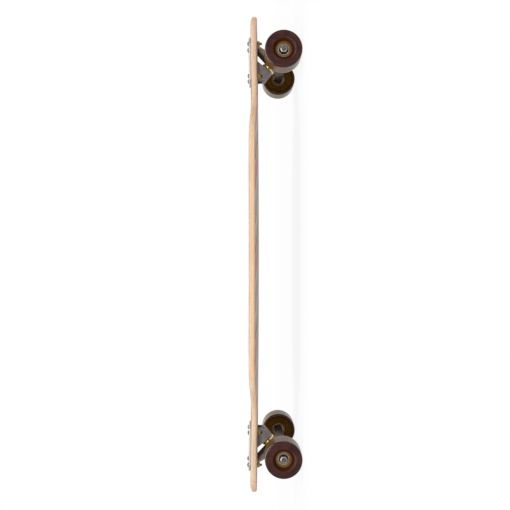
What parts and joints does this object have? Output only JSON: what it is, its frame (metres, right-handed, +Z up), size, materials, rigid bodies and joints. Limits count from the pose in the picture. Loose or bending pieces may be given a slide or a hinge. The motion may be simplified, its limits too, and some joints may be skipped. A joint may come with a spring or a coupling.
{
  "type": "longboard skateboard",
  "caption": "Drop-through longboard with a dished maple deck, sprung reverse-kingpin trucks that steer as it leans, and wide soft wheels on shielded bearings.",
  "frame": {"origin": "on the ground, under the middle of the deck", "axes": "+X towards the nose, +Y to the rider's left, +Z up"},
  "size_m": [0.946, 0.2514, 0.1017],
  "materials": {
    "maple_laminate": "satin lacquer over plies",
    "grip_tape": "coarse abrasive grit",
    "cast_aluminium": "tumbled raw casting",
    "hanger_coating": "dark grey satin coating",
    "zinc_steel": "bright zinc plate",
    "yellow_zinc": "yellow zinc plate",
    "bearing_steel": "ground steel",
    "bushing_urethane": "translucent amber urethane",
    "pivot_urethane": "moulded",
    "wheel_urethane": "translucent brown urethane",
    "core_plastic": "moulded"
  },
  "bodies": {
    "board": {"deck": "maple_laminate", "grip_tape": "grip_tape", "front_baseplate": "cast_aluminium", "front_pivot_cup": "pivot_urethane", "front_kingpin": "zinc_steel", "front_kingpin_nut": "zinc_steel", "front_board_bushing": "bushing_urethane", "front_road_bushing": "bushing_urethane", "front_bushing_washers": "yellow_zinc", "front_mounting_bolts": "zinc_steel", "front_mounting_nuts": "yellow_zinc", "rear_baseplate": "cast_aluminium", "rear_pivot_cup": "pivot_urethane", "rear_kingpin": "zinc_steel", "rear_kingpin_nut": "zinc_steel", "rear_board_bushing": "bushing_urethane", "rear_road_bushing": "bushing_urethane", "rear_bushing_washers": "yellow_zinc", "rear_mounting_bolts": "zinc_steel", "rear_mounting_nuts": "yellow_zinc"},
    "front_steering": {"front_hanger": "hanger_coating", "front_axle": "zinc_steel", "front_axle_nuts": "zinc_steel", "front_speed_rings": "zinc_steel", "front_bearing_spacers": "bearing_steel", "front_bearing_inner_rings": "bearing_steel"},
    "front_left_wheel": {"front_left_wheel_tyre": "wheel_urethane", "front_left_wheel_core": "core_plastic", "front_left_bearing_outer_rings": "bearing_steel"},
    "front_right_wheel": {"front_right_wheel_tyre": "wheel_urethane", "front_right_wheel_core": "core_plastic", "front_right_bearing_outer_rings": "bearing_steel"},
    "rear_steering": {"rear_hanger": "hanger_coating", "rear_axle": "zinc_steel", "rear_axle_nuts": "zinc_steel", "rear_speed_rings": "zinc_steel", "rear_bearing_spacers": "bearing_steel", "rear_bearing_inner_rings": "bearing_steel"},
    "rear_left_wheel": {"rear_left_wheel_tyre": "wheel_urethane", "rear_left_wheel_core": "core_plastic", "rear_left_bearing_outer_rings": "bearing_steel"},
    "rear_right_wheel": {"rear_right_wheel_tyre": "wheel_urethane", "rear_right_wheel_core": "core_plastic", "rear_right_bearing_outer_rings": "bearing_steel"}
  },
  "joints": [
    {"name": "front_steer", "type": "hinge", "parent": "board", "child": "front_steering", "pos_m": [0.38456, 0, 0.04893], "axis": [0.6326, 0, 0.7745], "range_deg": [-20, 20], "stiffness_Nm_per_rad": 60, "deforming": ["front_board_bushing", "front_road_bushing"]},
    {"name": "front_left_wheel_spin", "type": "hinge", "parent": "front_steering", "child": "front_left_wheel", "pos_m": [0.37535, 0.1032, 0.0345], "axis": [0, 1, 0], "continuous": true},
    {"name": "front_right_wheel_spin", "type": "hinge", "parent": "front_steering", "child": "front_right_wheel", "pos_m": [0.37535, -0.1032, 0.0345], "axis": [0, 1, 0], "continuous": true},
    {"name": "rear_steer", "type": "hinge", "parent": "board", "child": "rear_steering", "pos_m": [-0.38456, 0, 0.04893], "axis": [-0.6326, 0, 0.7745], "range_deg": [-20, 20], "stiffness_Nm_per_rad": 60, "deforming": ["rear_board_bushing", "rear_road_bushing"]},
    {"name": "rear_left_wheel_spin", "type": "hinge", "parent": "rear_steering", "child": "rear_left_wheel", "pos_m": [-0.37535, 0.1032, 0.0345], "axis": [0, 1, 0], "continuous": true},
    {"name": "rear_right_wheel_spin", "type": "hinge", "parent": "rear_steering", "child": "rear_right_wheel", "pos_m": [-0.37535, -0.1032, 0.0345], "axis": [0, 1, 0], "continuous": true}
  ]
}
